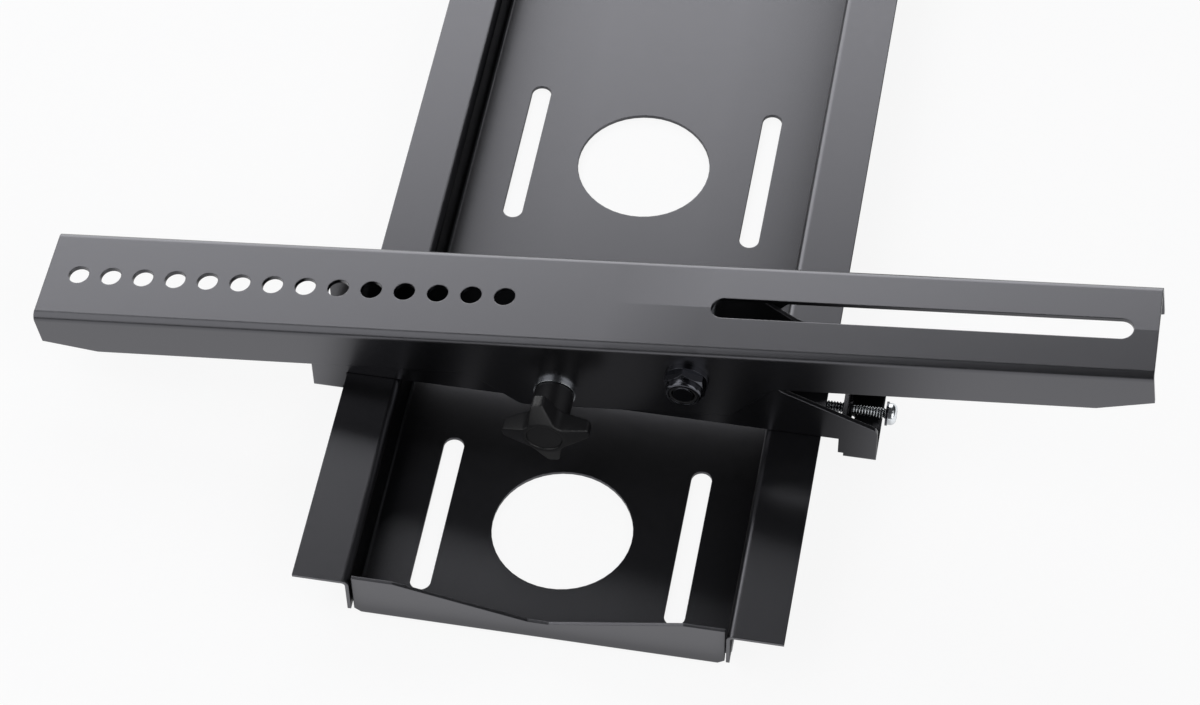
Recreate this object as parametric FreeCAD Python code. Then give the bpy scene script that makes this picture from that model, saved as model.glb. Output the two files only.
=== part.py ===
import FreeCAD, Part
import math
import os

V = FreeCAD.Vector

# Tilting wall mount for a flat screen: a folded wall plate and two tilting arms that hang on it.
# Sizes are in millimetres. X runs along the wall plate, Y points into the wall and Z points up.
# The back of the wall plate lies in the plane Y = 0, and its centre is the origin.

# Wall plate: one folded sheet with a sunken pan, two flanges and an upturned lip at each end.
plate_sheet = 1.5
plate_height = 205.0
plate_depth = 25.0
plate_bend = 3.0
pan_width = 157.6
hole_count = 4
hole_pitch = 203.5
hole_dia = 60.0
end_margin = 56.0
wall_slot_length = 79.1
wall_slot_width = 8.8
wall_slot_offset = 54.0
lip_setback = 1.7
lip_gap = 0.8
lip_bend = 2.0
lip_rise = 24.0
lip_notch_rise = 10.5
lip_notch_width = 9.0
lip_shoulder = 17.3
lip_chamfer_width = 2.8
lip_chamfer_rise = 2.2
lip_foot = 6.0
relief_rise = 5.4

# Arms: a channel with a row of screen holes, a long slot and two deep ears in the middle.
arm_inset = 69.0
arm_sheet = 2.0
arm_width = 48.0
arm_bend = 3.4
flange_depth = 22.7
ear_depth = 42.6
ear_above_pivot = 75.1
ear_below_pivot = 15.9
ear_ramp = 20.3
ear_round = 6.0
taper_length = 24.0
taper_depth = 5.6
screen_hole_count = 14
screen_hole_pitch = 14.63
screen_hole_dia = 9.13
top_margin = 14.7
first_hole_to_pivot = 270.1
pivot_to_slot = 8.8
arm_slot_length = 174.6
arm_slot_width = 10.4
bottom_margin = 10.1

# Tilt: the arms rest 7.38 degrees back, with their lower ends away from the wall.
rest_tilt = 7.38
forward_tilt = 12.0
pivot_height = -45.6
pivot_reach = 59.6
pivot_inset = 17.9
stud_rise = 58.5
stud_inset = 14.1

# Hook brackets: two side plates joined by a tie at each end, one bent piece of sheet.
bracket_sheet = 2.0
bracket_bend = 2.4
bracket_gap = 2.2
seat_gap = 0.3
bracket_back = 12.0
hook_rise = 15.5
hook_reach = 14.5
hook_play = 1.1
web_gap = 3.0
roof_round = 18.0
shoulder_below_pivot = 20.0
neck_below_pivot = 33.4
neck_reach = 57.8
knee_below_pivot = 40.5
knee_reach = 52.4
leg_reach = 33.6
leg_round = 4.0
leg_gap = 7.6
leg_notch = 2.3
notch_reach = 15.7
leg_width = 16.3
upper_tie_width = 13.0
tab_width = 31.6
tab_reach = 31.5
tab_round = 3.0
collar_dia = 8.0
collar_length = 1.5
drain_hole_dia = 3.6
drain_hole_offset = 0.9
drain_hole_side = 1.0
arc_clearance = 0.3

# Pivot: a 10 mm carriage bolt with a lock nut on the outer side of each arm.
pivot_dia = 10.0
running_gap = 0.1
pivot_washer_dia = 19.0
pivot_washer_thickness = 2.2
hex_flats = 16.0
pivot_head_dia = 20.0
pivot_head_height = 5.0
pivot_square = 10.0
nut_hex_height = 3.9
nut_collar_height = 3.2
nut_collar_dia = 15.2
nut_mouth_dia = 11.8
nut_ring_dia = 13.0
nut_ring_height = 1.6
nut_ring_inset = 0.4
nut_collar_round = 1.2
edge_break = 0.8
sleeve_dia = 14.0
friction_washer_dia = 24.0
friction_washer_thickness = 2.0

# Tilt lock: an 8 mm carriage bolt, a knob with four lobes and a bright washer.
stud_dia = 8.0
stud_hole_dia = 8.4
stud_square = 8.0
stud_head_dia = 18.0
stud_head_height = 4.6
clamp_washer_dia = 18.0
knob_washer_dia = 18.0
knob_washer_thickness = 1.6
knob_gap = 0.2
knob_front = 23.4
knob_tip_front = 20.6
knob_tip_back = 15.0
knob_back = 13.4
knob_radius = 18.9
knob_hub_dia = 17.0
knob_face_dia = 18.5
knob_tip_width = 4.8
knob_tip_round = 1.6
knob_waist = 8.9
knob_waist_round = 5.0
knob_lean = -2.6
insert_dia = 11.0
insert_length = 15.0
stud_engagement = 13.0
cap_dia = 15.0
cap_thickness = 1.6
cap_recess = 0.5
cap_stem_dia = 6.0
cap_stem_length = 2.0
cap_gap = 0.1

# Lock screw: a 5 mm screw in the bracket's tab whose tip sits behind the lower flange.
screw_dia = 4.9
screw_running_gap = 0.08
screw_flange_gap = 0.25
screw_tip_overlap = 9.5
screw_washer_drop = 1.5
screw_washer_dia = 10.4
screw_washer_thickness = 1.0
screw_head_dia = 9.4
screw_head_height = 3.6
screw_head_round = 2.4
recess_width = 1.2
recess_span = 5.0
recess_depth = 1.8

# Derived sizes.
hole_xs = [(i - (hole_count - 1) / 2) * hole_pitch for i in range(hole_count)]
plate_half_length = hole_xs[-1] + end_margin
arm_spacing = 2 * (hole_xs[-1] - arm_inset)
flange_edge = plate_height / 2
flange_back = plate_depth - plate_sheet
arm_half = arm_width / 2
bracket_half = arm_half - arm_sheet - bracket_gap
bracket_inner = bracket_half - bracket_sheet
arm_top = first_hole_to_pivot + top_margin
arm_bottom = -(pivot_to_slot + arm_slot_length + bottom_margin)
stud_radius = math.hypot(stud_rise, stud_inset)
tilt_travel = rest_tilt + forward_tilt
leg_top = -(flange_edge + leg_gap)
leg_bottom = leg_top - leg_width
screw_reach = flange_back - screw_flange_gap - screw_dia / 2


def rounded_face(points, radii):
    """A flat face whose outline passes the points, each corner rounded by its own radius."""
    edges = []
    ends = []
    for i, corner in enumerate(points):
        radius = radii[i]
        if radius == 0:
            ends.append((corner, None, corner))
            continue
        to_last = (points[i - 1] - corner).normalize()
        to_next = (points[(i + 1) % len(points)] - corner).normalize()
        half = to_last.getAngle(to_next) / 2
        start = corner + to_last * (radius / math.tan(half))
        end = corner + to_next * (radius / math.tan(half))
        bisector = (to_last + to_next).normalize()
        middle = corner + bisector * (radius / math.sin(half) - radius)
        ends.append((start, middle, end))
    for i, (start, middle, end) in enumerate(ends):
        if middle is not None:
            edges.append(Part.Arc(start, middle, end).toShape())
        following = ends[(i + 1) % len(ends)][0]
        if end.distanceToPoint(following) > 1e-6:
            edges.append(Part.makeLine(end, following))
    return Part.Face(Part.Wire(edges))


def side_plate(outline, x_low, x_high):
    """Sheet cut to an outline of (y, z, radius) corners and as thick as x_high - x_low."""
    points = [V(x_low, y, z) for y, z, radius in outline]
    face = rounded_face(points, [radius for y, z, radius in outline])
    return face.extrude(V(x_high - x_low, 0, 0))


def rod(radius, start, end):
    """A round bar from one point to another."""
    return Part.makeCylinder(radius, start.distanceToPoint(end), start, end - start)


def ring(outer, inner, start, end):
    """A washer or tube between two points on its axis."""
    return rod(outer, start, end).cut(rod(inner, start, end))


def box(x_low, x_high, y_low, y_high, z_low, z_high):
    return Part.makeBox(x_high - x_low, y_high - y_low, z_high - z_low, V(x_low, y_low, z_low))


def hexagon(flats, x_low, x_high, y=0.0, z=0.0):
    """A hexagonal prism along X with flats at the top and bottom."""
    radius = flats / math.sqrt(3)
    turns = [math.radians(60 * i) for i in range(6)]
    points = [V(x_low, y + radius * math.cos(a), z + radius * math.sin(a)) for a in turns]
    return Part.Face(Part.makePolygon(points + points[:1])).extrude(V(x_high - x_low, 0, 0))


def turned(profile):
    """A piece turned about the X axis from its (x, radius) outline."""
    points = [V(x, radius, 0) for x, radius in profile]
    return Part.Face(Part.makePolygon(points + points[:1])).revolve(V(0, 0, 0), V(1, 0, 0), 360)


def fused(pieces):
    return pieces[0].fuse(pieces[1:]).removeSplitter()


def slot_cutter(length, width, x, y_low, y_high, z):
    """A cutter for a slot along X with round ends, cutting in the direction of Y."""
    reach = (length - width) / 2
    middle = box(x - reach, x + reach, y_low, y_high, z - width / 2, z + width / 2)
    ends = [rod(width / 2, V(x + s * reach, y_low, z), V(x + s * reach, y_high, z)) for s in (-1, 1)]
    return middle.fuse(ends)


# The wall plate.

def pan_section():
    """Section of the pan and its flanges, traced round the sheet in the plane of one end."""
    wall = pan_width / 2
    inner = plate_bend - plate_sheet
    front = [(-plate_depth, flange_edge, 0), (-plate_depth, wall, plate_bend), (-plate_sheet, wall, inner)]
    back = [(0, wall + plate_sheet, plate_bend), (-flange_back, wall + plate_sheet, inner),
            (-flange_back, flange_edge, 0)]
    lower_front = [(y, -z, radius) for y, z, radius in reversed(front)]
    lower_back = [(y, -z, radius) for y, z, radius in reversed(back)]
    return front + lower_front + lower_back + back


def end_lip():
    """The lip at the end with negative X: the floor turned up, with a notch in its middle."""
    outer = lip_setback - plate_half_length
    half = pan_width / 2 - lip_gap
    inner = lip_bend - plate_sheet
    corners = [(outer, -plate_depth - lip_rise), (outer, 0), (outer + lip_foot, 0),
               (outer + lip_foot, -plate_sheet), (outer + plate_sheet, -plate_sheet),
               (outer + plate_sheet, -plate_depth - lip_rise)]
    section = rounded_face([V(x, y, -half) for x, y in corners], [0, lip_bend, 0, 0, inner, 0])
    fold = section.extrude(V(0, 0, 2 * half))
    notch = lip_notch_width / 2
    upper = [(plate_sheet, half - lip_chamfer_width), (-plate_sheet, half - lip_chamfer_width),
             (-plate_sheet - lip_chamfer_rise, half), (-plate_sheet - lip_rise, half),
             (-plate_sheet - lip_rise, half - lip_shoulder), (-plate_sheet - lip_notch_rise, notch)]
    lower = [(y, -z) for y, z in reversed(upper)]
    outline = [(y, z, 0) for y, z in upper + lower]
    return fold.common(side_plate(outline, outer - 1, outer + lip_foot + 1))


def wall_plate():
    pan = side_plate(pan_section(), -plate_half_length, plate_half_length)
    foot = plate_half_length - lip_setback - lip_foot
    clear = pan_width / 2 + plate_sheet + 1
    for side in (-1, 1):
        ends = sorted([side * foot, side * (plate_half_length + 1)])
        pan = pan.cut(box(ends[0], ends[1], -relief_rise, 1, -clear, clear))
    lip = end_lip()
    other_lip = lip.mirror(V(0, 0, 0), V(1, 0, 0))
    cutters = []
    for x in hole_xs:
        cutters.append(rod(hole_dia / 2, V(x, -plate_depth, 0), V(x, 1, 0)))
        for z in (-wall_slot_offset, wall_slot_offset):
            cutters.append(slot_cutter(wall_slot_length, wall_slot_width, x, -plate_depth, 1, z))
    return fused([pan, lip, other_lip]).cut(cutters)


# One arm, drawn upright about its pivot: the web is at the front, and the wall side has positive y.

def arm_section():
    """Section of the arm's channel, with flanges as deep as the ears."""
    front = -pivot_inset
    back = ear_depth - pivot_inset
    inner = arm_half - arm_sheet
    corners = [(-arm_half, back), (-arm_half, front), (arm_half, front), (arm_half, back),
               (inner, back), (inner, front + arm_sheet), (-inner, front + arm_sheet), (-inner, back)]
    bend = arm_bend - arm_sheet
    points = [V(x, y, arm_bottom) for x, y in corners]
    return rounded_face(points, [0, arm_bend, arm_bend, 0, 0, bend, bend, 0])


def arm_outline():
    """Side view of the arm: tapered ends and the deep ears."""
    front = -pivot_inset
    flange = front + flange_depth
    ear = front + ear_depth
    end = flange - taper_depth
    return [(front - 1, arm_top, 0), (end, arm_top, 0), (flange, arm_top - taper_length, 0),
            (flange, ear_above_pivot + ear_ramp, ear_round), (ear, ear_above_pivot, ear_round),
            (ear, -ear_below_pivot, ear_round), (flange, -ear_below_pivot - ear_ramp, ear_round),
            (flange, arm_bottom + taper_length, 0), (end, arm_bottom, 0), (front - 1, arm_bottom, 0)]


def arm():
    channel = arm_section().extrude(V(0, 0, arm_top - arm_bottom))
    body = channel.common(side_plate(arm_outline(), -arm_half - 1, arm_half + 1))
    web_low = -pivot_inset - 1
    web_high = -pivot_inset + arm_sheet + 1
    cutters = []
    for i in range(screen_hole_count):
        z = first_hole_to_pivot - i * screen_hole_pitch
        cutters.append(rod(screen_hole_dia / 2, V(0, web_low, z), V(0, web_high, z)))
    slot = slot_cutter(arm_slot_length, arm_slot_width, 0, web_low, web_high, 0)
    slot.rotate(V(0, 0, 0), V(0, 1, 0), 90)
    slot.translate(V(0, 0, -pivot_to_slot - arm_slot_length / 2))
    cutters.append(slot)
    for dia, square, y, z in ((pivot_dia, pivot_square, 0, 0), (stud_dia, stud_square, stud_inset, stud_rise)):
        cutters.append(rod(dia / 2 + running_gap, V(-arm_half - 1, y, z), V(0, y, z)))
        half = square / 2 + running_gap
        cutters.append(box(0, arm_half + 1, y - half, y + half, z - half, z + half))
    return body.cut(cutters)


def on_pivot(piece):
    """Moves a piece drawn about the pivot to its place on the wall plate."""
    piece.translate(V(0, -pivot_reach, pivot_height))
    return piece


def on_arm(piece):
    """Turns a piece drawn with the upright arm to the arm's tilt at rest, and places it."""
    piece.rotate(V(0, 0, 0), V(1, 0, 0), -rest_tilt)
    return on_pivot(piece)


# One hook bracket, drawn in its place on the wall plate.

def roof(z):
    """Foremost y that stays behind the arm's web at height z, at both ends of the tilt."""
    rise = z - pivot_height
    edges = []
    for tilt in (-rest_tilt, forward_tilt):
        angle = math.radians(tilt)
        web_back = (pivot_inset - arm_sheet - web_gap) / math.cos(angle)
        edges.append(-pivot_reach - web_back - rise * math.tan(angle))
    return max(edges)


def bracket_outline():
    hook_top = flange_edge + hook_rise
    seat = flange_edge + seat_gap
    front = -(plate_depth + seat_gap)
    finger_front = -(flange_back - hook_play)
    finger_tip = flange_edge - hook_reach
    step = -(bracket_back + bracket_bend)
    shoulder = pivot_height - shoulder_below_pivot
    return [(step, hook_top, 0), (roof(hook_top), hook_top, leg_round),
            (roof(pivot_height), pivot_height, roof_round), (roof(shoulder), shoulder, leg_round),
            (-neck_reach, pivot_height - neck_below_pivot, 0), (-knee_reach, pivot_height - knee_below_pivot, 0),
            (-leg_reach, leg_bottom, leg_round), (step, leg_bottom, 0), (step, leg_top - leg_notch, 0),
            (-notch_reach, leg_top - leg_notch, 0), (-notch_reach, leg_top, 0), (front, leg_top, 0),
            (front, seat, 0),
            (finger_front, seat, 0), (finger_front, finger_tip, 1), (-bracket_back, finger_tip, 1),
            (-bracket_back, hook_top - upper_tie_width - leg_notch, 0),
            (-notch_reach, hook_top - upper_tie_width - leg_notch, 0),
            (-notch_reach, hook_top - upper_tie_width, 0),
            (step, hook_top - upper_tie_width, 0)]


def tie(z_low, z_high):
    """The folded cross piece that joins the two side plates near the wall."""
    back = -bracket_back
    legs = -(bracket_back + bracket_bend)
    floor = -(bracket_back + bracket_sheet)
    corners = [(-bracket_half, legs), (-bracket_half, back), (bracket_half, back), (bracket_half, legs),
               (bracket_inner, legs), (bracket_inner, floor), (-bracket_inner, floor), (-bracket_inner, legs)]
    inner = bracket_bend - bracket_sheet
    points = [V(x, y, z_low) for x, y in corners]
    section = rounded_face(points, [0, bracket_bend, bracket_bend, 0, 0, inner, inner, 0])
    return section.extrude(V(0, 0, z_high - z_low))


def screw_tab():
    """The tab that stands up from the lower tie and holds the lock screw."""
    floor = -(bracket_back + bracket_sheet)
    inner = bracket_bend - bracket_sheet
    low = leg_top - bracket_sheet
    corners = [(-bracket_back, leg_bottom), (-bracket_back, leg_top), (-tab_reach, leg_top),
               (-tab_reach, low), (floor, low), (floor, leg_bottom)]
    half = tab_width / 2
    section = rounded_face([V(-half, y, z) for y, z in corners], [0, bracket_bend, 0, 0, inner, 0])
    fold = section.extrude(V(tab_width, 0, 0))
    points = [V(-half, -bracket_back, leg_bottom), V(half, -bracket_back, leg_bottom),
              V(half, -tab_reach, leg_bottom), V(-half, -tab_reach, leg_bottom)]
    window = rounded_face(points, [0, 0, tab_round, tab_round]).extrude(V(0, 0, leg_width))
    return fold.common(window)


def hook_bracket():
    outline = bracket_outline()
    left = side_plate(outline, -bracket_half, -bracket_inner)
    right = side_plate(outline, bracket_inner, bracket_half)
    hook_top = flange_edge + hook_rise
    upper = tie(hook_top - upper_tie_width, hook_top)
    lower = tie(leg_bottom, leg_top - leg_notch)
    low = leg_top - bracket_sheet
    collar = rod(collar_dia / 2, V(0, -screw_reach, low), V(0, -screw_reach, low - collar_length))
    body = fused([left, right, upper, lower, screw_tab(), collar])
    screw_hole = screw_dia / 2 + screw_running_gap
    drain_z = low - drain_hole_offset
    pivot_hole = pivot_dia / 2 + running_gap
    cutters = [rod(screw_hole, V(0, -screw_reach, leg_top + 1), V(0, -screw_reach, low - collar_length - 1)),
               rod(drain_hole_dia / 2, V(drain_hole_side, -bracket_back + 1, drain_z),
                   V(drain_hole_side, -bracket_back - bracket_sheet - 1, drain_z)),
               on_pivot(rod(pivot_hole, V(-arm_half, 0, 0), V(arm_half, 0, 0))),
               on_pivot(arc_cutter())]
    return body.cut(cutters)


def arc_cutter():
    """The curved slot about the pivot that the carriage bolt moves along as the arm tilts."""
    half = stud_dia / 2 + arc_clearance
    rest = math.atan2(stud_rise, stud_inset) - math.radians(rest_tilt)
    last = rest + math.radians(tilt_travel)
    middle = (rest + last) / 2

    def spot(radius, angle):
        return V(-arm_half, radius * math.cos(angle), radius * math.sin(angle))

    outer = stud_radius + half
    inner = stud_radius - half
    edges = [Part.Arc(spot(outer, rest), spot(outer, middle), spot(outer, last)).toShape(),
             Part.makeLine(spot(outer, last), spot(inner, last)),
             Part.Arc(spot(inner, last), spot(inner, middle), spot(inner, rest)).toShape(),
             Part.makeLine(spot(inner, rest), spot(outer, rest))]
    band = Part.Face(Part.Wire(edges)).extrude(V(arm_width, 0, 0))
    ends = [rod(half, spot(stud_radius, a), spot(stud_radius, a) + V(arm_width, 0, 0)) for a in (rest, last)]
    return band.fuse(ends)


# Fasteners of the pivot, drawn about the pivot axis. The outer side of the arm has negative x.

nut_start = -arm_half - pivot_washer_thickness
nut_end = nut_start - nut_hex_height - nut_collar_height


def carriage_bolt(dia, square, head_dia, head_height, tip):
    """A bolt with a domed head on the arm's inner side and a square neck in the arm's sheet."""
    shaft = rod(dia / 2, V(tip, 0, 0), V(arm_half, 0, 0))
    half = square / 2
    neck = box(arm_half - arm_sheet, arm_half, -half, half, -half, half)
    radius = head_dia / 2
    dome_radius = (radius ** 2 + head_height ** 2) / (2 * head_height)
    ball = Part.makeSphere(dome_radius, V(arm_half + head_height - dome_radius, 0, 0))
    head = ball.common(rod(radius, V(arm_half, 0, 0), V(arm_half + head_height, 0, 0)))
    return fused([shaft, neck, head])


def pivot_bolt():
    return carriage_bolt(pivot_dia, pivot_square, pivot_head_dia, pivot_head_height, nut_end + nut_ring_inset)


def pivot_nut():
    hexed = nut_start - nut_hex_height
    prism = hexagon(hex_flats, hexed, nut_start)
    corner = hex_flats / math.sqrt(3)
    trim = turned([(nut_start, 0), (nut_start, corner), (hexed + edge_break, corner),
                   (hexed, hex_flats / 2), (hexed, 0)])
    collar = rod(nut_collar_dia / 2, V(nut_end, 0, 0), V(hexed, 0, 0))
    rim = [edge for edge in collar.Edges if edge.BoundBox.XMax < nut_end + 0.01 and edge.Closed]
    collar = collar.makeFillet(nut_collar_round, rim)
    body = fused([prism.common(trim), collar])
    groove_start = nut_end + nut_ring_inset
    groove = rod(nut_ring_dia / 2, V(groove_start, 0, 0), V(groove_start + nut_ring_height, 0, 0))
    mouth_cut = rod(nut_mouth_dia / 2, V(nut_end - 1, 0, 0), V(groove_start, 0, 0))
    bore = rod(pivot_dia / 2, V(nut_end - 1, 0, 0), V(nut_start + 1, 0, 0))
    return body.cut([groove, mouth_cut, bore])


def pivot_nut_ring():
    start = nut_end + nut_ring_inset
    return ring(nut_ring_dia / 2, pivot_dia / 2, V(start, 0, 0), V(start + nut_ring_height, 0, 0))


def pivot_washer():
    hole = pivot_dia / 2 + running_gap
    return ring(pivot_washer_dia / 2, hole, V(nut_start, 0, 0), V(-arm_half, 0, 0))


def pivot_sleeve():
    hole = pivot_dia / 2 + running_gap
    return ring(sleeve_dia / 2, hole, V(-bracket_inner, 0, 0), V(bracket_inner, 0, 0))


def friction_washers():
    hole = pivot_dia / 2 + running_gap
    outer = bracket_half + friction_washer_thickness
    radius = friction_washer_dia / 2
    pair = [ring(radius, hole, V(s * bracket_half, 0, 0), V(s * outer, 0, 0)) for s in (-1, 1)]
    return Part.makeCompound(pair)


# The tilt lock, drawn about the bolt's own axis and moved to its place in the arm.

knob_base = -arm_half - knob_washer_thickness - knob_gap


def on_stud(piece):
    piece.translate(V(0, stud_inset, stud_rise))
    return on_arm(piece)


def tilt_bolt():
    return carriage_bolt(stud_dia, stud_square, stud_head_dia, stud_head_height, knob_base - stud_engagement)


def clamp_washers():
    inner_face = arm_half - arm_sheet
    near = ring(clamp_washer_dia / 2, stud_hole_dia / 2, V(-inner_face, 0, 0),
                V(-inner_face + friction_washer_thickness, 0, 0))
    far = ring(clamp_washer_dia / 2, stud_hole_dia / 2, V(inner_face - friction_washer_thickness, 0, 0),
               V(inner_face, 0, 0))
    return Part.makeCompound([near, far])


def knob_washer():
    start = -arm_half - knob_washer_thickness
    return ring(knob_washer_dia / 2, stud_hole_dia / 2, V(start, 0, 0), V(-arm_half, 0, 0))


def knob_cross():
    """Front view of the knob's grip: four lobes with hollow flanks between them."""
    points = []
    radii = []
    half = knob_tip_width / 2
    for turn in range(4):
        angle = math.radians(90 * turn + knob_lean)
        along = V(0, math.cos(angle), math.sin(angle))
        across = V(0, -math.sin(angle), math.cos(angle))
        tip = along * knob_radius
        waist = (along + across) * (knob_waist / math.sqrt(2))
        points += [tip - across * half, tip + across * half, waist]
        radii += [knob_tip_round, knob_tip_round, knob_waist_round]
    return rounded_face(points, radii)


def tilt_knob():
    cross = knob_cross()
    cross.translate(V(knob_base - knob_front - 1, 0, 0))
    grip = cross.extrude(V(knob_front + 1, 0, 0))
    front = knob_base - knob_front
    lens = turned([(front, 0), (front, knob_face_dia / 2), (knob_base - knob_tip_front, knob_radius),
                   (knob_base - knob_tip_back, knob_radius + 1), (knob_base - knob_back, knob_hub_dia / 2),
                   (knob_base - knob_back, 0)])
    hub = rod(knob_hub_dia / 2, V(knob_base - knob_back, 0, 0), V(knob_base, 0, 0))
    boss = turned([(front, 0), (front, knob_face_dia / 2), (knob_base - knob_back, knob_hub_dia / 2),
                   (knob_base - knob_back, 0)])
    body = fused([grip.common(lens), boss, hub])
    insert_hole = rod(insert_dia / 2, V(knob_base - insert_length, 0, 0), V(knob_base + 1, 0, 0))
    cap_depth = cap_recess + cap_thickness
    recess = rod(cap_dia / 2 + cap_gap, V(front - 1, 0, 0), V(front + cap_depth, 0, 0))
    stem_hole = rod(cap_stem_dia / 2, V(front, 0, 0), V(front + cap_depth + cap_stem_length, 0, 0))
    return body.cut([insert_hole, recess, stem_hole])


def knob_insert():
    bore = stud_dia / 2 + running_gap / 2
    return ring(insert_dia / 2, bore, V(knob_base - insert_length, 0, 0), V(knob_base, 0, 0))


def knob_cap():
    front = knob_base - knob_front + cap_recess
    disc = rod(cap_dia / 2, V(front, 0, 0), V(front + cap_thickness, 0, 0))
    stem = rod(cap_stem_dia / 2, V(front, 0, 0), V(front + cap_thickness + cap_stem_length, 0, 0))
    return fused([disc, stem])


# The lock screw, drawn in its place: its axis runs down from behind the lower flange.

screw_washer_top = leg_bottom - screw_washer_drop
screw_head_top = screw_washer_top - screw_washer_thickness


def along_screw(radius, z_high, z_low):
    return rod(radius, V(0, -screw_reach, z_high), V(0, -screw_reach, z_low))


def lock_screw():
    tip = -flange_edge + screw_tip_overlap
    shaft = along_screw(screw_dia / 2, tip, screw_head_top)
    low = screw_head_top - screw_head_height
    head = along_screw(screw_head_dia / 2, screw_head_top, low)
    rim = [edge for edge in head.Edges if edge.BoundBox.ZMax < low + 0.01 and edge.Closed]
    head = head.makeFillet(screw_head_round, rim)
    span = recess_span / 2
    half = recess_width / 2
    high = low + recess_depth
    bars = [box(-span, span, -screw_reach - half, -screw_reach + half, low - 1, high),
            box(-half, half, -screw_reach - span, -screw_reach + span, low - 1, high)]
    return fused([shaft, head]).cut(bars)


def lock_washer():
    disc = along_screw(screw_washer_dia / 2, screw_washer_top, screw_head_top)
    return disc.cut(along_screw(screw_dia / 2 + running_gap, screw_washer_top, screw_head_top))


# Every piece of one arm, by node name.

def arm_pieces():
    return {
        "arm": on_arm(arm()),
        "hook_bracket": hook_bracket(),
        "pivot_bolt": on_arm(pivot_bolt()),
        "pivot_nut": on_arm(pivot_nut()),
        "pivot_nut_ring": on_arm(pivot_nut_ring()),
        "pivot_washer": on_arm(pivot_washer()),
        "pivot_sleeve": on_pivot(pivot_sleeve()),
        "friction_washers": on_pivot(friction_washers()),
        "tilt_bolt": on_stud(tilt_bolt()),
        "clamp_washers": on_stud(clamp_washers()),
        "knob_washer": on_stud(knob_washer()),
        "tilt_knob": on_stud(tilt_knob()),
        "knob_insert": on_stud(knob_insert()),
        "knob_cap": on_stud(knob_cap()),
        "lock_screw": lock_screw(),
        "lock_washer": lock_washer(),
    }


os.makedirs("parts", exist_ok=True)
wall_plate().exportStep("parts/wall_plate.step")
for name, piece in arm_pieces().items():
    piece.translate(V(-arm_spacing / 2, 0, 0))
    piece.exportStep("parts/left_" + name + ".step")
    piece.mirror(V(0, 0, 0), V(1, 0, 0)).exportStep("parts/right_" + name + ".step")
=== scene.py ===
# %% [markdown]
# # A tilting wall mount, dressed for a studio picture
#
# The mount is a set of folded black steel pieces: a long wall plate, and two arms that hang on it and
# tilt. Its shape arrives ready made, one mesh for each real piece. What is left to make here is how
# it looks: powder coat, zinc, plastic, screw threads, a moulded knob, and light.

import bpy
import bmesh
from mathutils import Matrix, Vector


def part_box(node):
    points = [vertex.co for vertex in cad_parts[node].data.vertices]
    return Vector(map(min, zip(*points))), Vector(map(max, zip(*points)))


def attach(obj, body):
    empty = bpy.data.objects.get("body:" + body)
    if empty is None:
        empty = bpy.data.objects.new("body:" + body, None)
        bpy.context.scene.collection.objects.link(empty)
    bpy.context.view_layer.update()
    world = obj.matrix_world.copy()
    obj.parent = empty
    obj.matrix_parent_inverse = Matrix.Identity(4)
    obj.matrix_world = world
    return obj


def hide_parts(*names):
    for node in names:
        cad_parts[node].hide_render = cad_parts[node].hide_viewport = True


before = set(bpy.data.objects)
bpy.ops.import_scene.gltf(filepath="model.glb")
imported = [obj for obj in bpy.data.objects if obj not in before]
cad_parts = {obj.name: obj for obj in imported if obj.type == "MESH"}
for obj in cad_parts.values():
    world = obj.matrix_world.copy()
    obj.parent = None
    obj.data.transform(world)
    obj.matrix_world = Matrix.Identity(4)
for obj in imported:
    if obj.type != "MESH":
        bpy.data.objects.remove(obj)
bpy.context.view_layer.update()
MM = 0.001

# %% [markdown]
# ## The view
#
# The picture is taken from the plate's near end, high above one side, with the camera rolled so that
# the plate runs up the frame. Three directions say that exactly: where the camera looks, what is up
# and what is right. A matrix made of them turns the camera in one step, which is easier to get right
# than three Euler angles.

# %% Camera
CAMERA_AT = Vector((-1.15245, -1.2762, -0.1880))
LOOK = Vector((0.5903, 0.7985, 0.1183)).normalized()
UP = Vector((0.7877, -0.6019, 0.1319)).normalized()
LENS = 109.2
SENSOR = 36.0


def add_camera(place, look, up, lens):
    """A camera at a place, looking along one direction with another one upwards."""
    data = bpy.data.cameras.new("camera")
    data.lens = lens
    data.sensor_width = SENSOR
    data.clip_start = 0.05
    camera = bpy.data.objects.new("camera", data)
    bpy.context.scene.collection.objects.link(camera)
    right = look.cross(up).normalized()
    true_up = right.cross(look)
    matrix = camera.matrix_world.copy()
    for row in range(3):
        matrix[row][0] = right[row]
        matrix[row][1] = true_up[row]
        matrix[row][2] = -look[row]
        matrix[row][3] = place[row]
    camera.matrix_world = matrix
    return camera


bpy.context.scene.camera = add_camera(CAMERA_AT, LOOK, UP, LENS)
print("camera lens", LENS, "mm")

# %% [markdown]
# ## Colours and node trees
#
# A colour is given as an sRGB hex value, but shaders work in linear light, so one function turns
# the one into the other. A second one adds a node, gives it its settings and wires its inputs, which
# keeps each material below down to a few readable lines.

# %% Helpers for materials
def colour(hex_value):
    """Linear RGBA from an sRGB hex string such as '2a2b2e'."""
    parts = [int(hex_value[i:i + 2], 16) / 255 for i in (0, 2, 4)]
    linear = [p / 12.92 if p <= 0.04045 else ((p + 0.055) / 1.055) ** 2.4 for p in parts]
    return (*linear, 1.0)


def add(tree, kind, settings=None, **inputs):
    """A node of one kind with its settings; an input is a value, or a socket to wire in."""
    node = tree.nodes.new(kind)
    for name, value in (settings or {}).items():
        setattr(node, name, value)
    for name, value in inputs.items():
        key = int(name[1:]) if name[1:].isdigit() else name.replace("_", " ")
        if isinstance(value, bpy.types.NodeSocket):
            tree.links.new(value, node.inputs[key])
        else:
            node.inputs[key].default_value = value
    return node


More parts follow.
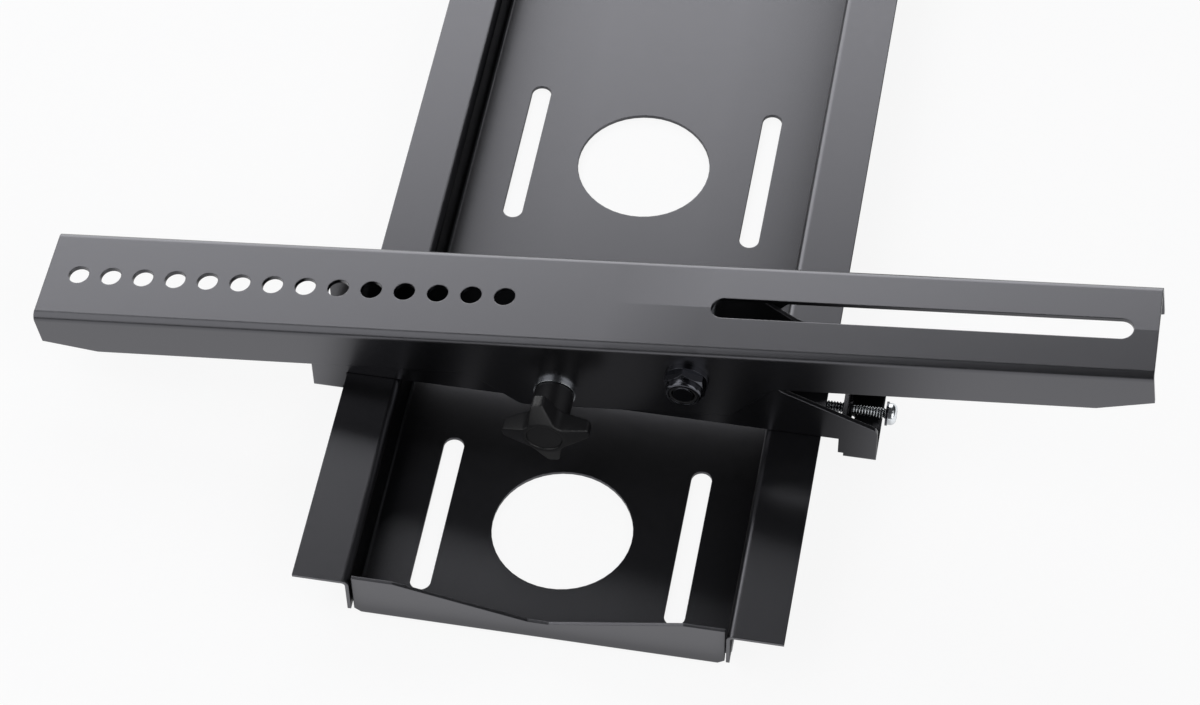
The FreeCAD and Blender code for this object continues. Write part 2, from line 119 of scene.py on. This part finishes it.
def new_material(name):
    """An empty material: its tree, its shader and the object coordinates that patterns read."""
    material = bpy.data.materials.new(name)
    material.use_nodes = True
    tree = material.node_tree
    tree.nodes.clear()
    shader = add(tree, "ShaderNodeBsdfPrincipled")
    output = add(tree, "ShaderNodeOutputMaterial", Surface=shader.outputs["BSDF"])
    place = add(tree, "ShaderNodeTexCoord").outputs["Object"]
    return material, tree, shader, place


print("ink black is", [round(v, 4) for v in colour("17181a")[:3]])

# %% [markdown]
# ## Soft edges and fine relief
#
# No made surface is perfectly sharp or flat: a coat or a plating rounds every edge, and a tool or the
# baking leaves a relief. Modelling that would take millions of faces, so it is done in the shading.
# The Bevel node bends the light over the last part of a millimetre at an edge, and a Bump node adds
# the relief on top. Both take their sizes in millimetres, so they stay true whatever the picture's size.

# %% Helpers for surfaces
def per_mm(size):
    """Noise scale for features of a size in millimetres, as object coordinates are in metres."""
    return 1 / (size * MM)


def rounded_normal(tree, radius, height, depth):
    """Shading with softened edges and a fine relief that is depth millimetres deep."""
    edge = add(tree, "ShaderNodeBevel", {"samples": 6}, Radius=radius * MM)
    bump = add(tree, "ShaderNodeBump", Strength=1.0, Distance=depth * MM, Height=height,
               Normal=edge.outputs["Normal"])
    return bump.outputs["Normal"]


print("a noise of 1 mm has the scale", round(per_mm(1.0)))

# %% [markdown]
# ## Powder coat
#
# The folded sheets are sprayed with dry polyester powder and baked, which leaves a satin skin with a
# faint orange peel and a soft roundness on every cut edge. The peel is a noise of about a millimetre,
# and wider noises vary the gloss and the colour a little.
#
# The sheen carries painted shade. The Ambient Occlusion node measures how open a point is, and the
# sheen is scaled by it, so deep corners are painted darker, as if in shade. It looks only at the piece
# itself, so the wall a millimetre behind the plate doesn't count. The side walls of the pan get painted
# shade too: the sheen also drops where a face is turned along Z.

# %% Satin black powder coat
PEEL_SIZE, DUST_SIZE, CLOUD_SIZE = 1.1, 2.6, 35.0
COAT_ROUND, PEEL_DEPTH = 0.5, 0.006
# painted shade: how far the corner shade reaches, and how much sheen the side walls keep
CORNER_SHADE_REACH = 50
SIDE_WALL_SHADED_SHEEN = 0.24


def powder_coat(name):
    material, tree, shader, place = new_material(name)
    peel = add(tree, "ShaderNodeTexNoise", Vector=place, Scale=per_mm(PEEL_SIZE), Detail=2.0,
               Roughness=0.45)
    cloud = add(tree, "ShaderNodeTexNoise", Vector=place, Scale=per_mm(CLOUD_SIZE), Detail=3.0)
    dust = add(tree, "ShaderNodeTexNoise", Vector=place, Scale=per_mm(DUST_SIZE), Detail=4.0)
    base = add(tree, "ShaderNodeMix", {"data_type": "RGBA"}, i0=cloud.outputs["Fac"],
               i6=colour("030304"), i7=colour("060607"))
    gloss = add(tree, "ShaderNodeMapRange", Value=dust.outputs["Fac"], To_Min=0.27, To_Max=0.32)
    facing = add(tree, "ShaderNodeSeparateXYZ", Vector=add(tree, "ShaderNodeTexCoord").outputs["Normal"])
    sideways = add(tree, "ShaderNodeMath", {"operation": "ABSOLUTE"}, i0=facing.outputs["Z"])
    # painted shade: the sheen drops on faces turned along Z, such as the pan's side walls
    side_wall_shade = add(tree, "ShaderNodeMapRange", Value=sideways.outputs[0], From_Min=0.80, From_Max=0.97,
                To_Min=1.0, To_Max=SIDE_WALL_SHADED_SHEEN)
    # painted shade: the sheen is scaled down in deep corners
    corner_shade = add(tree, "ShaderNodeAmbientOcclusion", {"samples": 4, "only_local": True},
                   Distance=CORNER_SHADE_REACH * MM)
    level = add(tree, "ShaderNodeMath", {"operation": "MULTIPLY"}, i0=side_wall_shade.outputs["Result"],
                i1=corner_shade.outputs["AO"])
    tree.links.new(base.outputs[2], shader.inputs["Base Color"])
    tree.links.new(gloss.outputs["Result"], shader.inputs["Roughness"])
    tree.links.new(level.outputs[0], shader.inputs["Specular IOR Level"])
    skin = rounded_normal(tree, COAT_ROUND, peel.outputs["Fac"], PEEL_DEPTH)
    tree.links.new(skin, shader.inputs["Normal"])
    shader.inputs["Specular Tint"].default_value = colour("f6f6ff")
    shader.inputs["IOR"].default_value = 1.6
    return material


POWDER_COAT = powder_coat("Satin black powder coat")
print("made", POWDER_COAT.name, "with a peel of", PEEL_SIZE, "mm")

# %% [markdown]
# ## A crowned web
#
# Where the long slot is punched, the arm's web relaxes: the strips on either side of the slot lean
# away from each other by about a degree. A flat mirror shows even that, and one strip turns darker
# than the other. The arms get a coat of their own, with a second Bump node for this crown. Its height
# falls with the distance from the arm's middle, and its depth is simply the slope of the lean.

# %% Powder coat of the arms
ARM_MIDDLE = abs(sum(corner[0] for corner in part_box("left_arm")) / 2)
CROWN_SLOPE = 0.022


def crowned(material):
    """Leans the two strips of the web apart below the middle of the arm."""
    tree = material.node_tree
    shader = tree.nodes["Principled BSDF"]
    skin = shader.inputs["Normal"].links[0].from_socket
    spot = add(tree, "ShaderNodeSeparateXYZ", Vector=add(tree, "ShaderNodeTexCoord").outputs["Object"])
    side = add(tree, "ShaderNodeMath", {"operation": "ABSOLUTE"}, i0=spot.outputs["X"])
    offset = add(tree, "ShaderNodeMath", {"operation": "SUBTRACT"}, i0=side.outputs[0], i1=ARM_MIDDLE)
    reach = add(tree, "ShaderNodeMath", {"operation": "ABSOLUTE"}, i0=offset.outputs[0])
    slotted = add(tree, "ShaderNodeMapRange", Value=spot.outputs["Z"], From_Min=-10 * MM, From_Max=-50 * MM)
    fall = add(tree, "ShaderNodeMath", {"operation": "MULTIPLY"}, i0=reach.outputs[0],
               i1=slotted.outputs["Result"])
    lean = add(tree, "ShaderNodeBump", {"invert": True}, Strength=1.0, Distance=CROWN_SLOPE,
               Height=fall.outputs[0], Normal=skin)
    tree.links.new(lean.outputs["Normal"], shader.inputs["Normal"])
    return material


ARM_COAT = crowned(powder_coat("Satin black powder coat on the arms"))
print("made", ARM_COAT.name, "about x =", round(ARM_MIDDLE, 5))

# %% [markdown]
# ## Metals
#
# Bright zinc is a thin pale plating over turned steel: a metal with a cool tint and fine tool marks.
# Black zinc is the same plating dyed, so it keeps a metal's hard highlights over a nearly black body.
# Brass shows only inside the knob. One function makes all three, as they differ only in colour, gloss
# and the size of their marks. An Ambient Occlusion node that reaches just under a millimetre paints
# shade at the bottom of grooves, so a thread reads as light crests on dark roots.

# %% Zinc, black zinc and brass
# painted shade: how far the darkening at the bottom of grooves reaches, in millimetres
GROOVE_SHADE_REACH = 0.9
PLATING_ROUND = 0.15


def plated(name, dark, light, rough, grain, depth):
    material, tree, shader, place = new_material(name)
    marks = add(tree, "ShaderNodeTexNoise", Vector=place, Scale=per_mm(grain), Detail=5.0, Roughness=0.6)
    stain = add(tree, "ShaderNodeTexNoise", Vector=place, Scale=per_mm(9.0), Detail=2.0)
    base = add(tree, "ShaderNodeMix", {"data_type": "RGBA"}, i0=stain.outputs["Fac"],
               i6=colour(dark), i7=colour(light))
    gloss = add(tree, "ShaderNodeMapRange", Value=marks.outputs["Fac"], To_Min=rough - 0.05,
                To_Max=rough + 0.06)
    # painted shade: the base colour darkens at the bottom of grooves and in tight corners
    groove_shade = add(tree, "ShaderNodeAmbientOcclusion", {"samples": 8, "only_local": True},
               Color=base.outputs[2], Distance=GROOVE_SHADE_REACH * MM)
    tree.links.new(groove_shade.outputs["Color"], shader.inputs["Base Color"])
    tree.links.new(gloss.outputs["Result"], shader.inputs["Roughness"])
    tree.links.new(rounded_normal(tree, PLATING_ROUND, marks.outputs["Fac"], depth), shader.inputs["Normal"])
    shader.inputs["Metallic"].default_value = 1.0
    return material


BRIGHT_ZINC = plated("Bright zinc plated steel", "d8dde1", "e9ecef", 0.24, 0.5, 0.003)
BLACK_ZINC = plated("Black zinc plated steel", "4c4d52", "5a5b60", 0.20, 0.6, 0.003)
BRASS = plated("Turned brass", "a9874a", "c7a766", 0.30, 0.4, 0.005)
print("made", BRIGHT_ZINC.name, BLACK_ZINC.name, BRASS.name)

# %% [markdown]
# ## Plastics
#
# The knob is glass filled nylon, moulded in a spark eroded tool: a fine even grain and a low sheen.
# The washers between arm and bracket, and the ring in the lock nut, are unfilled nylon, a little
# smoother. Both come from one function.

# %% Moulded nylon
MOULD_ROUND = 0.2


def moulded_nylon(name, dark, light, rough, grain, depth):
    material, tree, shader, place = new_material(name)
    spark = add(tree, "ShaderNodeTexNoise", Vector=place, Scale=per_mm(grain), Detail=3.0, Roughness=0.7)
    flow = add(tree, "ShaderNodeTexNoise", Vector=place, Scale=per_mm(12.0), Detail=2.0)
    base = add(tree, "ShaderNodeMix", {"data_type": "RGBA"}, i0=flow.outputs["Fac"],
               i6=colour(dark), i7=colour(light))
    gloss = add(tree, "ShaderNodeMapRange", Value=spark.outputs["Fac"], To_Min=rough - 0.05,
                To_Max=rough + 0.06)
    tree.links.new(base.outputs[2], shader.inputs["Base Color"])
    tree.links.new(gloss.outputs["Result"], shader.inputs["Roughness"])
    tree.links.new(rounded_normal(tree, MOULD_ROUND, spark.outputs["Fac"], depth), shader.inputs["Normal"])
    shader.inputs["IOR"].default_value = 1.53
    return material


KNOB_NYLON = moulded_nylon("Glass filled black nylon", "0e0e10", "151517", 0.40, 0.45, 0.02)
CAP_NYLON = moulded_nylon("Smooth black nylon", "121214", "19191b", 0.34, 0.6, 0.008)
WASHER_NYLON = moulded_nylon("Unfilled black nylon", "161618", "1e1e20", 0.45, 0.5, 0.01)
print("made", KNOB_NYLON.name, CAP_NYLON.name, WASHER_NYLON.name)

# %% [markdown]
# ## Dressing the ready made pieces
#
# Every piece gets its material by name, for both arms at once. The meshes come as loose triangles with
# their own exact normals, so nothing about their shape is touched.

# %% Materials by piece
FINISHES = {
    "arm": ARM_COAT, "hook_bracket": POWDER_COAT,
    "pivot_bolt": BLACK_ZINC, "pivot_nut": BLACK_ZINC, "pivot_washer": BLACK_ZINC,
    "pivot_nut_ring": WASHER_NYLON, "friction_washers": WASHER_NYLON, "clamp_washers": WASHER_NYLON,
    "pivot_sleeve": BRIGHT_ZINC, "tilt_bolt": BRIGHT_ZINC, "knob_washer": BRIGHT_ZINC,
    "tilt_knob": KNOB_NYLON, "knob_cap": CAP_NYLON, "knob_insert": BRASS,
    "lock_screw": BRIGHT_ZINC, "lock_washer": BLACK_ZINC,
}
SIDES = ("left", "right")


def dress(name, material):
    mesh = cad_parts[name].data
    mesh.materials.clear()
    mesh.materials.append(material)


dress("wall_plate", POWDER_COAT)
for side in SIDES:
    for piece, material in FINISHES.items():
        dress(side + "_" + piece, material)
print("dressed", 1 + 2 * len(FINISHES), "pieces")

# %% [markdown]
# ## A screw thread from Geometry Nodes
#
# A thread is one profile swept along a helix. Geometry Nodes says that directly: a Spiral curve, a
# diamond profile, Curve to Mesh, and a core cylinder joined to it. The sizes are inputs, so that the
# lock screw, the tilt bolt and the pivot bolt all use the same tree. Its last nodes are Realize
# Instances and Set Material, because only plain geometry can be exported.

# %% The thread tree
def thread_tree():
    tree = bpy.data.node_groups.new("screw thread", "GeometryNodeTree")
    tree.interface.new_socket("Geometry", in_out="OUTPUT", socket_type="NodeSocketGeometry")
    for name in ("Radius", "Pitch", "Length"):
        tree.interface.new_socket(name, in_out="INPUT", socket_type="NodeSocketFloat")
    tree.interface.new_socket("Material", in_out="INPUT", socket_type="NodeSocketMaterial")
    given = tree.nodes.new("NodeGroupInput").outputs
    radius, pitch, length = given["Radius"], given["Pitch"], given["Length"]

    depth = add(tree, "ShaderNodeMath", {"operation": "MULTIPLY"}, i0=pitch, i1=0.55).outputs[0]
    core = add(tree, "ShaderNodeMath", {"operation": "SUBTRACT"}, i0=radius, i1=depth).outputs[0]
    climb = add(tree, "ShaderNodeMath", {"operation": "SUBTRACT"}, i0=length, i1=pitch).outputs[0]
    turns = add(tree, "ShaderNodeMath", {"operation": "DIVIDE"}, i0=climb, i1=pitch).outputs[0]
    helix = add(tree, "GeometryNodeCurveSpiral", Resolution=28, Rotations=turns, Start_Radius=core,
                End_Radius=core, Height=climb)
    half_pitch = add(tree, "ShaderNodeMath", {"operation": "MULTIPLY"}, i0=pitch, i1=0.5).outputs[0]
    lift = add(tree, "ShaderNodeCombineXYZ", Z=half_pitch).outputs[0]
    lifted = add(tree, "GeometryNodeTransform", Geometry=helix.outputs["Curve"], Translation=lift)
    steady = add(tree, "GeometryNodeSetCurveNormal", {"mode": "Z_UP"}, Curve=lifted.outputs[0])
    flank = add(tree, "ShaderNodeMath", {"operation": "MULTIPLY"}, i0=pitch, i1=0.48).outputs[0]
    across = add(tree, "ShaderNodeMath", {"operation": "MULTIPLY"}, i0=depth, i1=2.0).outputs[0]
    ridge = add(tree, "GeometryNodeCurvePrimitiveQuadrilateral", {"mode": "KITE"}, Width=across,
                Top_Height=flank, Bottom_Height=flank)
    swept = add(tree, "GeometryNodeCurveToMesh", Curve=steady.outputs[0], Profile_Curve=ridge.outputs[0],
                Fill_Caps=True)
    shank = add(tree, "GeometryNodeMeshCylinder", Vertices=40, Radius=core, Depth=length)
    half_length = add(tree, "ShaderNodeMath", {"operation": "MULTIPLY"}, i0=length, i1=0.5).outputs[0]
    rise = add(tree, "ShaderNodeCombineXYZ", Z=half_length).outputs[0]
    raised = add(tree, "GeometryNodeTransform", Geometry=shank.outputs["Mesh"], Translation=rise)
    both = add(tree, "GeometryNodeJoinGeometry")
    tree.links.new(swept.outputs[0], both.inputs[0])
    tree.links.new(raised.outputs[0], both.inputs[0])
    real = add(tree, "GeometryNodeRealizeInstances", Geometry=both.outputs[0])
    made = add(tree, "GeometryNodeSetMaterial", Geometry=real.outputs[0], Material=given["Material"])
    add(tree, "NodeGroupOutput", Geometry=made.outputs[0])
    return tree


THREAD = thread_tree()
print("thread tree has", len(THREAD.nodes), "nodes")

# %% [markdown]
# ## Working on copies of the ready made pieces
#
# A piece that gets more detail is made anew from a copy, and the new one takes the old one's place.
# The ready made meshes are loose triangles, so a copy is merged before anything is cut or smoothed.
# A finished piece stays at the origin and is told which body it moves with.

# %% Helpers for new pieces
def run_tree(tree, **values):
    """The plain mesh that a Geometry Nodes tree makes from its inputs."""
    carrier = bpy.data.objects.new("carrier", bpy.data.meshes.new("carrier"))
    bpy.context.scene.collection.objects.link(carrier)
    modifier = carrier.modifiers.new("tree", "NODES")
    modifier.node_group = tree
    for item in tree.interface.items_tree:
        if item.in_out == "INPUT":
            modifier[item.identifier] = values[item.name]
    bpy.context.view_layer.update()
    ready = carrier.evaluated_get(bpy.context.evaluated_depsgraph_get())
    mesh = bpy.data.meshes.new_from_object(ready)
    bpy.data.objects.remove(carrier)
    return mesh


def merged_copy(name):
    """The mesh of a ready made piece as a bmesh, with its loose triangles joined up."""
    work = bmesh.new()
    work.from_mesh(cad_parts[name].data)
    bmesh.ops.remove_doubles(work, verts=work.verts, dist=1e-6)
    return work


def cut_off(work, point, along):
    """Removes what lies beyond a plane and closes the cut."""
    everything = work.verts[:] + work.edges[:] + work.faces[:]
    cut = bmesh.ops.bisect_plane(work, geom=everything, plane_co=point, plane_no=along, clear_outer=True)
    rim = [item for item in cut["geom_cut"] if isinstance(item, bmesh.types.BMEdge)]
    bmesh.ops.holes_fill(work, edges=rim)


def as_piece(name, mesh, body):
    """A finished piece at the origin that moves with a body."""
    piece = bpy.data.objects.new(name, mesh)
    bpy.context.scene.collection.objects.link(piece)
    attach(piece, body)
    return piece


sample = merged_copy("left_lock_screw")
print("the lock screw has", len(sample.verts), "corners once merged")
sample.free()

# %% [markdown]
# ## Bolts and screws with real threads
#
# A ready made bolt has a plain shank. Its head is kept: a copy of the mesh is cut by a plane where the
# thread begins, and closed. The thread then takes the shank's place, as long and as thick as the piece
# it replaces, so nothing grows.

# %% Putting a thread on a bolt
def threaded(node, body, begin, tip, radius, pitch, material):
    """Replaces a bolt by its own head and a thread from one point to another, in millimetres."""
    begin, tip = begin * MM, tip * MM
    along = (tip - begin).normalized()
    thread = run_tree(THREAD, Radius=radius * MM, Pitch=pitch * MM, Length=(tip - begin).length,
                      Material=material)
    turn = Vector((0, 0, 1)).rotation_difference(along).to_matrix().to_4x4()
    turn.translation = begin
    thread.transform(turn)
    work = merged_copy(node)
    cut_off(work, begin, along)
    work.from_mesh(thread)
    bmesh.ops.recalc_face_normals(work, faces=work.faces)
    mesh = bpy.data.meshes.new(node + "_threaded")
    work.to_mesh(mesh)
    work.free()
    mesh.materials.clear()
    mesh.materials.append(material)
    mesh.polygons.foreach_set("material_index", [0] * len(mesh.polygons))
    piece = as_piece(node + "_threaded", mesh, body)
    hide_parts(node)
    return piece


lowest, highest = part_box("left_lock_screw")
print("the lock screw is", round((highest[2] - lowest[2]) / MM, 1), "mm long")

# %% [markdown]
# ## Which stretches carry a thread
#
# The lock screw is threaded along its whole shank, and shows it where it crosses the gap below the
# plate. The pivot bolt's thread shows in the mouth of its nut, and the tilt bolt's between the plates
# of the bracket. Their places are read from the boxes of the ready made pieces. The lock screw's real
# pitch of 0.8 mm is too fine to show in the picture, so it is drawn as coarse as it needs to be.

# %% Threads on every screw and bolt
LOCK_RADIUS, LOCK_PITCH = 2.45, 1.25
TILT_RADIUS, TILT_PITCH, TILT_THREAD = 4.0, 1.35, 46.0
PIVOT_RADIUS, PIVOT_PITCH, PIVOT_THREAD = 5.0, 1.5, 14.0
OUTWARD = {"left": -1, "right": 1}


def corners(name):
    """The lowest and the highest corner of a ready made piece, in millimetres."""
    return [Vector(corner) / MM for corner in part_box(name)]


def middle(name):
    low, high = corners(name)
    return (low + high) / 2


def outer_thread(side, bolt, neighbour, length, radius, pitch, material):
    """Threads the outer end of a bolt that lies along X, on the axis of a round neighbour."""
    low, high = corners(side + bolt)
    axis = middle(side + neighbour)
    tip = Vector((low.x if OUTWARD[side] < 0 else high.x, axis.y, axis.z))
    begin = tip - Vector((OUTWARD[side] * length, 0, 0))
    threaded(side + bolt, side + "_arm", begin, tip, radius, pitch, material)


for side in SIDES:
    axis = middle(side + "_lock_washer")
    begin = Vector((axis.x, axis.y, corners(side + "_lock_washer")[0].z))
    tip = Vector((axis.x, axis.y, corners(side + "_lock_screw")[1].z))
    threaded(side + "_lock_screw", side + "_lock_screw", begin, tip, LOCK_RADIUS, LOCK_PITCH,
             BRIGHT_ZINC)
    outer_thread(side, "_tilt_bolt", "_knob_washer", TILT_THREAD, TILT_RADIUS, TILT_PITCH,
                 BRIGHT_ZINC)
    outer_thread(side, "_pivot_bolt", "_pivot_sleeve", PIVOT_THREAD, PIVOT_RADIUS, PIVOT_PITCH,
                 BLACK_ZINC)
print("threaded", 3 * len(SIDES), "screws and bolts")

# %% [markdown]
# ## The moulded knob
#
# A moulding has no sharp edge anywhere. Voxel remeshing turns the plain lobes into an even skin of
# small quads, and a few rounds of smoothing melt every edge into a soft radius, the way the plastic
# leaves its tool. It is quicker and sturdier than bevelling curved edges that meet at odd angles.

# %% Softening the knob
KNOB_VOXEL, KNOB_ROUNDS = 0.34, 8


def softened(node, body, voxel, rounds, material):
    """Replaces a piece by a copy with every edge melted into a small radius."""
    work = merged_copy(node)
    mesh = bpy.data.meshes.new(node + "_moulded")
    work.to_mesh(mesh)
    work.free()
    source = bpy.data.objects.new(node + "_source", mesh)
    bpy.context.scene.collection.objects.link(source)
    remesh = source.modifiers.new("skin", "REMESH")
    remesh.mode = "VOXEL"
    remesh.voxel_size = voxel * MM
    smooth = source.modifiers.new("soften", "SMOOTH")
    smooth.iterations = rounds
    smooth.factor = 0.5
    bpy.context.view_layer.update()
    ready = source.evaluated_get(bpy.context.evaluated_depsgraph_get())
    soft = bpy.data.meshes.new_from_object(ready)
    bpy.data.objects.remove(source)
    soft.materials.clear()
    soft.materials.append(material)
    soft.polygons.foreach_set("use_smooth", [True] * len(soft.polygons))
    piece = as_piece(node + "_moulded", soft, body)
    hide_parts(node)
    return piece


for side in SIDES:
    knob = softened(side + "_tilt_knob", side + "_knob", KNOB_VOXEL, KNOB_ROUNDS, KNOB_NYLON)
print("knob skin has", len(knob.data.polygons), "faces")

# %% [markdown]
# ## Stage
#
# The mount is fixed to a wall, so the backdrop is a pale wall just behind it. For the camera the wall
# shines almost white on its own, and a thin share of real lit surface on top lets the mount's shadow
# stay. In reflections it is just as white, but dim right behind the plate, where the mount's own
# shadow lies. The faces that lie against it are the exception: Ray Length tells how near a reflecting
# face is, and those reflect it at a plain level. Seen from behind the wall is clear, so that the back
# of the mount shows too.
#
# The shade is given as three stretches in millimetres from the middle of the plate: past its ends,
# above it and below it. In each the wall turns from dim to white.

# %% Wall
PAST_ENDS, ABOVE, BELOW = (355, 370), (98, 126), (-92, -162)
IN_SHADE, IN_CLEAR = 0.11, 1.1
AGAINST, AT_BACK = 12, 0.7
WALL_GLOW = 0.90


def pale_wall():
    material, tree, shader, place = new_material("Pale wall paint")
    tree.nodes.remove(shader)
    rays = add(tree, "ShaderNodeLightPath").outputs
    spot = add(tree, "ShaderNodeSeparateXYZ", Vector=place)
    across = add(tree, "ShaderNodeMath", {"operation": "ABSOLUTE"}, i0=spot.outputs["X"]).outputs[0]
    lifted = []
    for along, (dim, white) in ((across, PAST_ENDS), (spot.outputs["Z"], ABOVE), (spot.outputs["Z"], BELOW)):
        lifted.append(add(tree, "ShaderNodeMapRange", {"interpolation_type": "SMOOTHSTEP"}, Value=along,
                          From_Min=dim * MM, From_Max=white * MM).outputs[0])
    past_edges = add(tree, "ShaderNodeMath", {"operation": "MAXIMUM"}, i0=lifted[1], i1=lifted[2])
    clear_of = add(tree, "ShaderNodeMath", {"operation": "MAXIMUM"}, i0=lifted[0],
                   i1=past_edges.outputs[0])
    in_mirror = add(tree, "ShaderNodeMapRange", Value=clear_of.outputs[0], To_Min=IN_SHADE,
                    To_Max=IN_CLEAR)
    against = add(tree, "ShaderNodeMath", {"operation": "LESS_THAN"}, i0=rays["Ray Length"], i1=AGAINST * MM)
    at_back = add(tree, "ShaderNodeMath", {"operation": "MULTIPLY"}, i0=against.outputs[0], i1=AT_BACK)
    level = add(tree, "ShaderNodeMath", {"operation": "MAXIMUM"}, i0=in_mirror.outputs[0],
                i1=at_back.outputs[0])
    mirrored = add(tree, "ShaderNodeMath", {"operation": "MULTIPLY"}, i0=rays["Is Glossy Ray"],
                   i1=level.outputs[0])
    shown = add(tree, "ShaderNodeMath", {"operation": "MAXIMUM"}, i0=rays["Is Camera Ray"],
                i1=mirrored.outputs[0])
    seen = add(tree, "ShaderNodeMath", {"operation": "MAXIMUM"}, i0=shown.outputs[0],
               i1=rays["Is Transmission Ray"])
    glow_level = add(tree, "ShaderNodeMath", {"operation": "MULTIPLY"}, i0=seen.outputs[0],
                     i1=WALL_GLOW)
    glow = add(tree, "ShaderNodeEmission", Color=(1, 1, 1, 1), Strength=glow_level.outputs[0])
    rough_cast = add(tree, "ShaderNodeTexNoise", Vector=place, Scale=per_mm(4.0))
    pale = add(tree, "ShaderNodeMix", {"data_type": "RGBA"}, i0=rough_cast.outputs["Fac"],
               i6=colour("505052"), i7=colour("545456"))
    paint = add(tree, "ShaderNodeBsdfDiffuse", Color=pale.outputs[2])
    both = add(tree, "ShaderNodeAddShader", i0=glow.outputs[0], i1=paint.outputs[0])
    behind = add(tree, "ShaderNodeNewGeometry").outputs["Backfacing"]
    clear = add(tree, "ShaderNodeBsdfTransparent")
    sided = add(tree, "ShaderNodeMixShader", i0=behind, i1=both.outputs[0], i2=clear.outputs[0])
    tree.links.new(sided.outputs[0], tree.nodes["Material Output"].inputs["Surface"])
    return material


def wall(reach, gap):
    """A square wall that faces the viewer, just behind the plate."""
    rim = [(-reach, gap, -reach), (reach, gap, -reach), (reach, gap, reach), (-reach, gap, reach)]
    mesh = bpy.data.meshes.new("wall")
    mesh.from_pydata(rim, [], [(0, 1, 2, 3)])
    mesh.materials.append(pale_wall())
    backdrop = bpy.data.objects.new("wall", mesh)
    bpy.context.scene.collection.objects.link(backdrop)
    return backdrop


WALL_REACH, WALL_GAP = 12.0, 0.001
wall(WALL_REACH, WALL_GAP)

# %% [markdown]
# ## Light
#
# Black satin steel is drawn by what it reflects. A large soft box beyond the far end of the plate is
# met at a flat angle, so its sheen runs down the plate and fades towards the near end. Two more stand
# left and right of the camera with a dark gap between them: they light the folds, and give the round
# fasteners their paired highlights.

# %% Lamps and world
LIT_SPOT = Vector((-0.2, -0.03, 0.0))
ROOM_LIGHT, ROOM_WHITE = 0.06, 0.96


def soft_box(name, towards, distance, width, height, watts):
    """An area lamp at some distance in one direction from the mount, facing it."""
    data = bpy.data.lights.new(name, "AREA")
    data.shape = "RECTANGLE"
    data.size = width
    data.size_y = height
    data.energy = watts
    lamp = bpy.data.objects.new(name, data)
    bpy.context.scene.collection.objects.link(lamp)
    away = Vector(towards).normalized()
    lamp.location = LIT_SPOT + away * distance
    lamp.rotation_euler = away.to_track_quat("Z", "Y").to_euler()
    return lamp


soft_box("left box", (-0.36, -0.70, 0.62), 2.0, 3.3, 1.6, 24.0)
soft_box("right box", (-0.45, -0.55, -0.70), 2.0, 2.6, 1.5, 19.6)
soft_box("far box", (0.87, -0.37, 0.33), 2.38, 2.5, 2.5, 57.0)


def pale_room():
    """A dim grey room for the light, and plain white where the camera looks straight at it."""
    world = bpy.data.worlds.new("room")
    bpy.context.scene.world = world
    world.use_nodes = True
    tree = world.node_tree
    tree.nodes.clear()
    room = add(tree, "ShaderNodeBackground", Color=colour("c9ccd2"), Strength=ROOM_LIGHT)
    white = add(tree, "ShaderNodeBackground", Color=(1, 1, 1, 1), Strength=ROOM_WHITE)
    rays = add(tree, "ShaderNodeLightPath").outputs
    mix = add(tree, "ShaderNodeMixShader", i0=rays["Is Camera Ray"], i1=room.outputs[0], i2=white.outputs[0])
    add(tree, "ShaderNodeOutputWorld", Surface=mix.outputs[0])


pale_room()
bpy.context.scene.view_settings.view_transform = "Standard"
